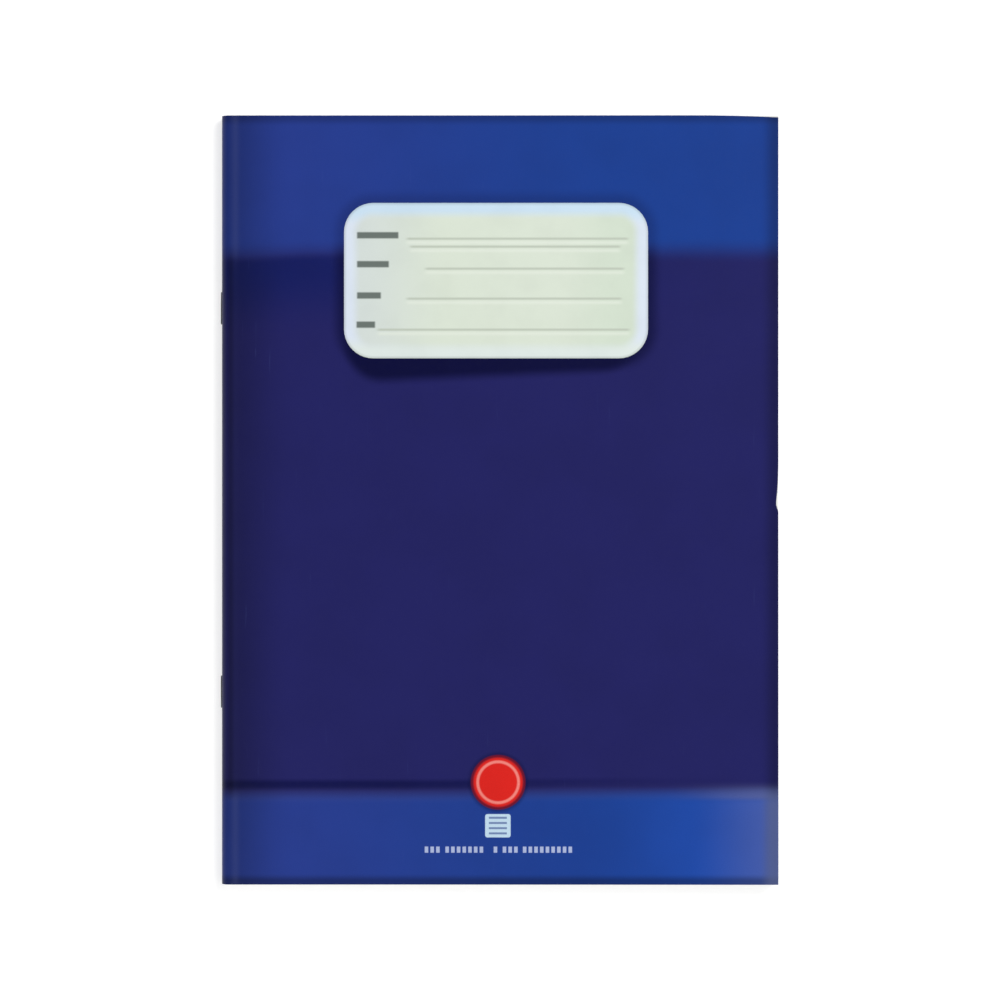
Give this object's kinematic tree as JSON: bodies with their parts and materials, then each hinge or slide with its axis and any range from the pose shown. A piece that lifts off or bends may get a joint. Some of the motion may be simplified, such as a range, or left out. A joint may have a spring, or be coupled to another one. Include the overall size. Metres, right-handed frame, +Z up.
{
  "type": "stapled exercise book",
  "caption": "Soft-cover exercise book of folded sheets, wire stapled through the spine, with a name label; it opens like a fan and its front cover folds right round.",
  "frame": {"origin": "middle of the face the shut book rests on, under the middle of its outline", "axes": "+X from the spine to the fore-edge, +Y from the tail to the head, +Z up out of the front cover"},
  "size_m": [0.2106, 0.29, 0.0063],
  "materials": {
    "cover_card": "printed, laminated",
    "paper": "matt",
    "label_paper": "satin",
    "staple_wire": "drawn wire"
  },
  "bodies": {
    "back_cover": {"back_cover": "cover_card"},
    "spine": {"cover_spine": "cover_card", "sheet_folds": "paper", "head_staple": "staple_wire", "tail_staple": "staple_wire"},
    "leaf_01": {"leaf_01": "paper"},
    "leaf_02": {"leaf_02": "paper"},
    "leaf_03": {"leaf_03": "paper"},
    "leaf_04": {"leaf_04": "paper"},
    "leaf_05": {"leaf_05": "paper"},
    "leaf_06": {"leaf_06": "paper"},
    "leaf_07": {"leaf_07": "paper"},
    "leaf_08": {"leaf_08": "paper"},
    "leaf_09": {"leaf_09": "paper"},
    "leaf_10": {"leaf_10": "paper"},
    "leaf_11": {"leaf_11": "paper"},
    "leaf_12": {"leaf_12": "paper"},
    "leaf_13": {"leaf_13": "paper"},
    "leaf_14": {"leaf_14": "paper"},
    "leaf_15": {"leaf_15": "paper"},
    "leaf_16": {"leaf_16": "paper"},
    "leaf_17": {"leaf_17": "paper"},
    "leaf_18": {"leaf_18": "paper"},
    "leaf_19": {"leaf_19": "paper"},
    "leaf_20": {"leaf_20": "paper"},
    "leaf_21": {"leaf_21": "paper"},
    "leaf_22": {"leaf_22": "paper"},
    "leaf_23": {"leaf_23": "paper"},
    "leaf_24": {"leaf_24": "paper"},
    "leaf_25": {"leaf_25": "paper"},
    "leaf_26": {"leaf_26": "paper"},
    "leaf_27": {"leaf_27": "paper"},
    "leaf_28": {"leaf_28": "paper"},
    "leaf_29": {"leaf_29": "paper"},
    "leaf_30": {"leaf_30": "paper"},
    "leaf_31": {"leaf_31": "paper"},
    "leaf_32": {"leaf_32": "paper"},
    "leaf_33": {"leaf_33": "paper"},
    "leaf_34": {"leaf_34": "paper"},
    "leaf_35": {"leaf_35": "paper"},
    "leaf_36": {"leaf_36": "paper"},
    "leaf_37": {"leaf_37": "paper"},
    "leaf_38": {"leaf_38": "paper"},
    "leaf_39": {"leaf_39": "paper"},
    "leaf_40": {"leaf_40": "paper"},
    "leaf_41": {"leaf_41": "paper"},
    "leaf_42": {"leaf_42": "paper"},
    "leaf_43": {"leaf_43": "paper"},
    "leaf_44": {"leaf_44": "paper"},
    "leaf_45": {"leaf_45": "paper"},
    "leaf_46": {"leaf_46": "paper"},
    "leaf_47": {"leaf_47": "paper"},
    "leaf_48": {"leaf_48": "paper"},
    "leaf_49": {"leaf_49": "paper"},
    "leaf_50": {"leaf_50": "paper"},
    "front_cover": {"front_cover": "cover_card", "name_label": "label_paper"}
  },
  "joints": [
    {"name": "book_open", "type": "hinge", "parent": "back_cover", "child": "leaf_01", "pos_m": [-0.10166, 0, 0.00308], "axis": [0, -1, 0], "range_deg": [0, 179], "deforming": ["cover_spine", "sheet_folds"]},
    {"name": "front_cover_open", "type": "hinge", "parent": "leaf_01", "child": "front_cover", "pos_m": [-0.10116, 0, 0.00646], "axis": [0, -1, 0], "range_deg": [0, 179]},
    {"name": "spine_turn", "type": "hinge", "parent": "back_cover", "child": "spine", "pos_m": [-0.10166, 0, 0.00308], "axis": [0, -1, 0], "range_deg": [0, 90]},
    {"name": "leaf_02_turn", "type": "hinge", "parent": "back_cover", "child": "leaf_02", "pos_m": [-0.10166, 0, 0.00308], "axis": [0, -1, 0], "range_deg": [0, 180]},
    {"name": "leaf_03_turn", "type": "hinge", "parent": "back_cover", "child": "leaf_03", "pos_m": [-0.10166, 0, 0.00308], "axis": [0, -1, 0], "range_deg": [0, 180]},
    {"name": "leaf_04_turn", "type": "hinge", "parent": "back_cover", "child": "leaf_04", "pos_m": [-0.10166, 0, 0.00308], "axis": [0, -1, 0], "range_deg": [0, 180]},
    {"name": "leaf_05_turn", "type": "hinge", "parent": "back_cover", "child": "leaf_05", "pos_m": [-0.10166, 0, 0.00308], "axis": [0, -1, 0], "range_deg": [0, 180]},
    {"name": "leaf_06_turn", "type": "hinge", "parent": "back_cover", "child": "leaf_06", "pos_m": [-0.10166, 0, 0.00308], "axis": [0, -1, 0], "range_deg": [0, 180]},
    {"name": "leaf_07_turn", "type": "hinge", "parent": "back_cover", "child": "leaf_07", "pos_m": [-0.10166, 0, 0.00308], "axis": [0, -1, 0], "range_deg": [0, 180]},
    {"name": "leaf_08_turn", "type": "hinge", "parent": "back_cover", "child": "leaf_08", "pos_m": [-0.10166, 0, 0.00308], "axis": [0, -1, 0], "range_deg": [0, 180]},
    {"name": "leaf_09_turn", "type": "hinge", "parent": "back_cover", "child": "leaf_09", "pos_m": [-0.10166, 0, 0.00308], "axis": [0, -1, 0], "range_deg": [0, 180]},
    {"name": "leaf_10_turn", "type": "hinge", "parent": "back_cover", "child": "leaf_10", "pos_m": [-0.10166, 0, 0.00308], "axis": [0, -1, 0], "range_deg": [0, 180]},
    {"name": "leaf_11_turn", "type": "hinge", "parent": "back_cover", "child": "leaf_11", "pos_m": [-0.10166, 0, 0.00308], "axis": [0, -1, 0], "range_deg": [0, 180]},
    {"name": "leaf_12_turn", "type": "hinge", "parent": "back_cover", "child": "leaf_12", "pos_m": [-0.10166, 0, 0.00308], "axis": [0, -1, 0], "range_deg": [0, 180]},
    {"name": "leaf_13_turn", "type": "hinge", "parent": "back_cover", "child": "leaf_13", "pos_m": [-0.10166, 0, 0.00308], "axis": [0, -1, 0], "range_deg": [0, 180]},
    {"name": "leaf_14_turn", "type": "hinge", "parent": "back_cover", "child": "leaf_14", "pos_m": [-0.10166, 0, 0.00308], "axis": [0, -1, 0], "range_deg": [0, 180]},
    {"name": "leaf_15_turn", "type": "hinge", "parent": "back_cover", "child": "leaf_15", "pos_m": [-0.10166, 0, 0.00308], "axis": [0, -1, 0], "range_deg": [0, 180]},
    {"name": "leaf_16_turn", "type": "hinge", "parent": "back_cover", "child": "leaf_16", "pos_m": [-0.10166, 0, 0.00308], "axis": [0, -1, 0], "range_deg": [0, 180]},
    {"name": "leaf_17_turn", "type": "hinge", "parent": "back_cover", "child": "leaf_17", "pos_m": [-0.10166, 0, 0.00308], "axis": [0, -1, 0], "range_deg": [0, 180]},
    {"name": "leaf_18_turn", "type": "hinge", "parent": "back_cover", "child": "leaf_18", "pos_m": [-0.10166, 0, 0.00308], "axis": [0, -1, 0], "range_deg": [0, 180]},
    {"name": "leaf_19_turn", "type": "hinge", "parent": "back_cover", "child": "leaf_19", "pos_m": [-0.10166, 0, 0.00308], "axis": [0, -1, 0], "range_deg": [0, 180]},
    {"name": "leaf_20_turn", "type": "hinge", "parent": "back_cover", "child": "leaf_20", "pos_m": [-0.10166, 0, 0.00308], "axis": [0, -1, 0], "range_deg": [0, 180]},
    {"name": "leaf_21_turn", "type": "hinge", "parent": "back_cover", "child": "leaf_21", "pos_m": [-0.10166, 0, 0.00308], "axis": [0, -1, 0], "range_deg": [0, 180]},
    {"name": "leaf_22_turn", "type": "hinge", "parent": "back_cover", "child": "leaf_22", "pos_m": [-0.10166, 0, 0.00308], "axis": [0, -1, 0], "range_deg": [0, 180]},
    {"name": "leaf_23_turn", "type": "hinge", "parent": "back_cover", "child": "leaf_23", "pos_m": [-0.10166, 0, 0.00308], "axis": [0, -1, 0], "range_deg": [0, 180]},
    {"name": "leaf_24_turn", "type": "hinge", "parent": "back_cover", "child": "leaf_24", "pos_m": [-0.10166, 0, 0.00308], "axis": [0, -1, 0], "range_deg": [0, 180]},
    {"name": "leaf_25_turn", "type": "hinge", "parent": "back_cover", "child": "leaf_25", "pos_m": [-0.10166, 0, 0.00308], "axis": [0, -1, 0], "range_deg": [0, 180]},
    {"name": "leaf_26_turn", "type": "hinge", "parent": "back_cover", "child": "leaf_26", "pos_m": [-0.10166, 0, 0.00308], "axis": [0, -1, 0], "range_deg": [0, 180]},
    {"name": "leaf_27_turn", "type": "hinge", "parent": "back_cover", "child": "leaf_27", "pos_m": [-0.10166, 0, 0.00308], "axis": [0, -1, 0], "range_deg": [0, 180]},
    {"name": "leaf_28_turn", "type": "hinge", "parent": "back_cover", "child": "leaf_28", "pos_m": [-0.10166, 0, 0.00308], "axis": [0, -1, 0], "range_deg": [0, 180]},
    {"name": "leaf_29_turn", "type": "hinge", "parent": "back_cover", "child": "leaf_29", "pos_m": [-0.10166, 0, 0.00308], "axis": [0, -1, 0], "range_deg": [0, 180]},
    {"name": "leaf_30_turn", "type": "hinge", "parent": "back_cover", "child": "leaf_30", "pos_m": [-0.10166, 0, 0.00308], "axis": [0, -1, 0], "range_deg": [0, 180]},
    {"name": "leaf_31_turn", "type": "hinge", "parent": "back_cover", "child": "leaf_31", "pos_m": [-0.10166, 0, 0.00308], "axis": [0, -1, 0], "range_deg": [0, 180]},
    {"name": "leaf_32_turn", "type": "hinge", "parent": "back_cover", "child": "leaf_32", "pos_m": [-0.10166, 0, 0.00308], "axis": [0, -1, 0], "range_deg": [0, 180]},
    {"name": "leaf_33_turn", "type": "hinge", "parent": "back_cover", "child": "leaf_33", "pos_m": [-0.10166, 0, 0.00308], "axis": [0, -1, 0], "range_deg": [0, 180]},
    {"name": "leaf_34_turn", "type": "hinge", "parent": "back_cover", "child": "leaf_34", "pos_m": [-0.10166, 0, 0.00308], "axis": [0, -1, 0], "range_deg": [0, 180]},
    {"name": "leaf_35_turn", "type": "hinge", "parent": "back_cover", "child": "leaf_35", "pos_m": [-0.10166, 0, 0.00308], "axis": [0, -1, 0], "range_deg": [0, 180]},
    {"name": "leaf_36_turn", "type": "hinge", "parent": "back_cover", "child": "leaf_36", "pos_m": [-0.10166, 0, 0.00308], "axis": [0, -1, 0], "range_deg": [0, 180]},
    {"name": "leaf_37_turn", "type": "hinge", "parent": "back_cover", "child": "leaf_37", "pos_m": [-0.10166, 0, 0.00308], "axis": [0, -1, 0], "range_deg": [0, 180]},
    {"name": "leaf_38_turn", "type": "hinge", "parent": "back_cover", "child": "leaf_38", "pos_m": [-0.10166, 0, 0.00308], "axis": [0, -1, 0], "range_deg": [0, 180]},
    {"name": "leaf_39_turn", "type": "hinge", "parent": "back_cover", "child": "leaf_39", "pos_m": [-0.10166, 0, 0.00308], "axis": [0, -1, 0], "range_deg": [0, 180]},
    {"name": "leaf_40_turn", "type": "hinge", "parent": "back_cover", "child": "leaf_40", "pos_m": [-0.10166, 0, 0.00308], "axis": [0, -1, 0], "range_deg": [0, 180]},
    {"name": "leaf_41_turn", "type": "hinge", "parent": "back_cover", "child": "leaf_41", "pos_m": [-0.10166, 0, 0.00308], "axis": [0, -1, 0], "range_deg": [0, 180]},
    {"name": "leaf_42_turn", "type": "hinge", "parent": "back_cover", "child": "leaf_42", "pos_m": [-0.10166, 0, 0.00308], "axis": [0, -1, 0], "range_deg": [0, 180]},
    {"name": "leaf_43_turn", "type": "hinge", "parent": "back_cover", "child": "leaf_43", "pos_m": [-0.10166, 0, 0.00308], "axis": [0, -1, 0], "range_deg": [0, 180]},
    {"name": "leaf_44_turn", "type": "hinge", "parent": "back_cover", "child": "leaf_44", "pos_m": [-0.10166, 0, 0.00308], "axis": [0, -1, 0], "range_deg": [0, 180]},
    {"name": "leaf_45_turn", "type": "hinge", "parent": "back_cover", "child": "leaf_45", "pos_m": [-0.10166, 0, 0.00308], "axis": [0, -1, 0], "range_deg": [0, 180]},
    {"name": "leaf_46_turn", "type": "hinge", "parent": "back_cover", "child": "leaf_46", "pos_m": [-0.10166, 0, 0.00308], "axis": [0, -1, 0], "range_deg": [0, 180]},
    {"name": "leaf_47_turn", "type": "hinge", "parent": "back_cover", "child": "leaf_47", "pos_m": [-0.10166, 0, 0.00308], "axis": [0, -1, 0], "range_deg": [0, 180]},
    {"name": "leaf_48_turn", "type": "hinge", "parent": "back_cover", "child": "leaf_48", "pos_m": [-0.10166, 0, 0.00308], "axis": [0, -1, 0], "range_deg": [0, 180]},
    {"name": "leaf_49_turn", "type": "hinge", "parent": "back_cover", "child": "leaf_49", "pos_m": [-0.10166, 0, 0.00308], "axis": [0, -1, 0], "range_deg": [0, 180]},
    {"name": "leaf_50_turn", "type": "hinge", "parent": "back_cover", "child": "leaf_50", "pos_m": [-0.10166, 0, 0.00308], "axis": [0, -1, 0], "range_deg": [0, 180]}
  ],
  "couplings": [
    {"joint": "spine_turn", "follows": "book_open", "ratio": 0.5},
    {"joint": "leaf_02_turn", "follows": "book_open", "ratio": 0.99667},
    {"joint": "leaf_03_turn", "follows": "book_open", "ratio": 0.99333},
    {"joint": "leaf_04_turn", "follows": "book_open", "ratio": 0.99},
    {"joint": "leaf_05_turn", "follows": "book_open", "ratio": 0.98667},
    {"joint": "leaf_06_turn", "follows": "book_open", "ratio": 0.98333},
    {"joint": "leaf_07_turn", "follows": "book_open", "ratio": 0.98},
    {"joint": "leaf_08_turn", "follows": "book_open", "ratio": 0.97667},
    {"joint": "leaf_09_turn", "follows": "book_open", "ratio": 0.97333},
    {"joint": "leaf_10_turn", "follows": "book_open", "ratio": 0.97},
    {"joint": "leaf_11_turn", "follows": "book_open", "ratio": 0.96667},
    {"joint": "leaf_12_turn", "follows": "book_open", "ratio": 0.96333},
    {"joint": "leaf_13_turn", "follows": "book_open", "ratio": 0.96},
    {"joint": "leaf_14_turn", "follows": "book_open", "ratio": 0.95667},
    {"joint": "leaf_15_turn", "follows": "book_open", "ratio": 0.95333},
    {"joint": "leaf_16_turn", "follows": "book_open", "ratio": 0.95},
    {"joint": "leaf_17_turn", "follows": "book_open", "ratio": 0.94667},
    {"joint": "leaf_18_turn", "follows": "book_open", "ratio": 0.94333},
    {"joint": "leaf_19_turn", "follows": "book_open", "ratio": 0.94},
    {"joint": "leaf_20_turn", "follows": "book_open", "ratio": 0.93667},
    {"joint": "leaf_21_turn", "follows": "book_open", "ratio": 0.93333},
    {"joint": "leaf_22_turn", "follows": "book_open", "ratio": 0.93},
    {"joint": "leaf_23_turn", "follows": "book_open", "ratio": 0.92667},
    {"joint": "leaf_24_turn", "follows": "book_open", "ratio": 0.92333},
    {"joint": "leaf_25_turn", "follows": "book_open", "ratio": 0.92},
    {"joint": "leaf_26_turn", "follows": "book_open", "ratio": 0.08},
    {"joint": "leaf_27_turn", "follows": "book_open", "ratio": 0.0775},
    {"joint": "leaf_28_turn", "follows": "book_open", "ratio": 0.075},
    {"joint": "leaf_29_turn", "follows": "book_open", "ratio": 0.0725},
    {"joint": "leaf_30_turn", "follows": "book_open", "ratio": 0.07},
    {"joint": "leaf_31_turn", "follows": "book_open", "ratio": 0.0675},
    {"joint": "leaf_32_turn", "follows": "book_open", "ratio": 0.065},
    {"joint": "leaf_33_turn", "follows": "book_open", "ratio": 0.0625},
    {"joint": "leaf_34_turn", "follows": "book_open", "ratio": 0.06},
    {"joint": "leaf_35_turn", "follows": "book_open", "ratio": 0.0575},
    {"joint": "leaf_36_turn", "follows": "book_open", "ratio": 0.055},
    {"joint": "leaf_37_turn", "follows": "book_open", "ratio": 0.0525},
    {"joint": "leaf_38_turn", "follows": "book_open", "ratio": 0.05},
    {"joint": "leaf_39_turn", "follows": "book_open", "ratio": 0.0475},
    {"joint": "leaf_40_turn", "follows": "book_open", "ratio": 0.045},
    {"joint": "leaf_41_turn", "follows": "book_open", "ratio": 0.0425},
    {"joint": "leaf_42_turn", "follows": "book_open", "ratio": 0.04},
    {"joint": "leaf_43_turn", "follows": "book_open", "ratio": 0.0375},
    {"joint": "leaf_44_turn", "follows": "book_open", "ratio": 0.035},
    {"joint": "leaf_45_turn", "follows": "book_open", "ratio": 0.0325},
    {"joint": "leaf_46_turn", "follows": "book_open", "ratio": 0.03},
    {"joint": "leaf_47_turn", "follows": "book_open", "ratio": 0.0275},
    {"joint": "leaf_48_turn", "follows": "book_open", "ratio": 0.025},
    {"joint": "leaf_49_turn", "follows": "book_open", "ratio": 0.0225},
    {"joint": "leaf_50_turn", "follows": "book_open", "ratio": 0.02}
  ]
}
